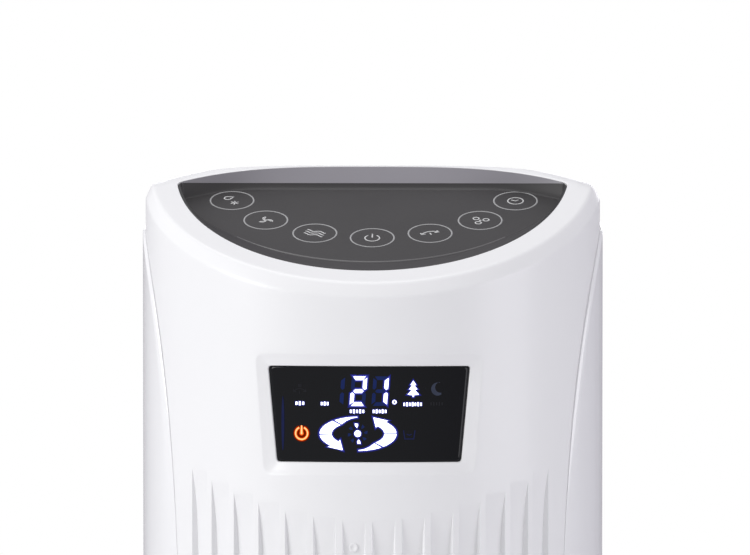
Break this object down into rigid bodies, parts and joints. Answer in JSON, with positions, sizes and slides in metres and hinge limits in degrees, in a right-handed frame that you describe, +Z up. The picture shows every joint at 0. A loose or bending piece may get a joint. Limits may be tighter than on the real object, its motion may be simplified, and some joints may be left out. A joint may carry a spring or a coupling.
{
  "type": "humidifying tower fan",
  "caption": "Tall white tower fan with a sloping touch panel, a lit display window, a ribbed air outlet, a slide-out water tank and a round base that it swings on.",
  "frame": {"origin": "middle of the round base, on the floor", "axes": "+Z up along the column, -Y the way the fan blows, +X to the right as seen from the front"},
  "size_m": [0.33, 0.33, 1.0591],
  "materials": {
    "white_plastic": "gloss",
    "dark_panel": "satin",
    "smoked_lens": "polished",
    "black_plastic": "fine texture",
    "grey_plastic": "moulded",
    "clear_tank": "translucent",
    "rubber": "matte",
    "zinc_steel": "zinc plated",
    "cast_iron": "painted",
    "circuit_board": "solder mask",
    "cooling_paper": "corrugated paper",
    "filter_mesh": "woven mesh",
    "acetal": "moulded",
    "bronze": "sintered"
  },
  "bodies": {
    "base": {"base_plate": "zinc_steel", "base_weight": "cast_iron", "base_cover": "white_plastic", "bearing_race": "acetal", "swing_gear": "acetal", "cord_gland": "rubber", "rubber_foot_1": "rubber", "rubber_foot_2": "rubber", "rubber_foot_3": "rubber", "rubber_foot_4": "rubber", "base_screw_1": "zinc_steel", "base_screw_2": "zinc_steel", "base_screw_3": "zinc_steel", "base_screw_4": "zinc_steel"},
    "column": {"swivel_hub": "grey_plastic", "floor_plate": "grey_plastic", "swing_motor": "zinc_steel", "front_shell": "white_plastic", "left_side_panel": "white_plastic", "right_side_panel": "white_plastic", "rear_housing": "white_plastic", "control_panel": "dark_panel", "touch_board": "circuit_board", "display_window": "smoked_lens", "led_module": "black_plastic", "display_board": "circuit_board", "main_board": "circuit_board", "ioniser": "black_plastic", "outlet_guard": "black_plastic", "scroll_wall": "grey_plastic", "cutoff_wall": "grey_plastic", "fan_motor": "zinc_steel", "motor_bracket": "zinc_steel", "top_bearing": "bronze", "bearing_bracket": "grey_plastic", "cooling_pad": "cooling_paper", "pad_frame": "white_plastic", "drip_tray": "white_plastic", "sump_tray": "white_plastic", "pump": "black_plastic", "pump_hose": "rubber", "rear_screw_1": "zinc_steel", "rear_screw_2": "zinc_steel", "rear_screw_3": "zinc_steel", "rear_screw_4": "zinc_steel"},
    "impeller": {"impeller": "black_plastic"},
    "pinion": {"swing_pinion": "acetal"},
    "tank": {"water_tank": "clear_tank", "tank_cover": "white_plastic", "level_window": "clear_tank", "tank_grip": "white_plastic"},
    "filter": {"filter_frame": "white_plastic", "dust_filter": "filter_mesh"}
  },
  "joints": [
    {"name": "body_swing", "type": "hinge", "parent": "base", "child": "column", "pos_m": [0, 0, 0.03], "axis": [0, 0, 1], "range_deg": [-35, 35]},
    {"name": "impeller_spin", "type": "hinge", "parent": "column", "child": "impeller", "pos_m": [0, -0.045, 0.3], "axis": [0, 0, 1], "continuous": true},
    {"name": "pinion_spin", "type": "hinge", "parent": "column", "child": "pinion", "pos_m": [0, -0.06, 0.015], "axis": [0, 0, 1], "range_deg": [-141, 141]},
    {"name": "tank_slide", "type": "slide", "parent": "column", "child": "tank", "axis": [0, 1, 0], "range_m": [0, 0.15]},
    {"name": "filter_slide", "type": "slide", "parent": "column", "child": "filter", "axis": [0, 1, 0], "range_m": [0, 0.06]}
  ],
  "couplings": [
    {"joint": "pinion_spin", "follows": "body_swing", "ratio": 4}
  ]
}
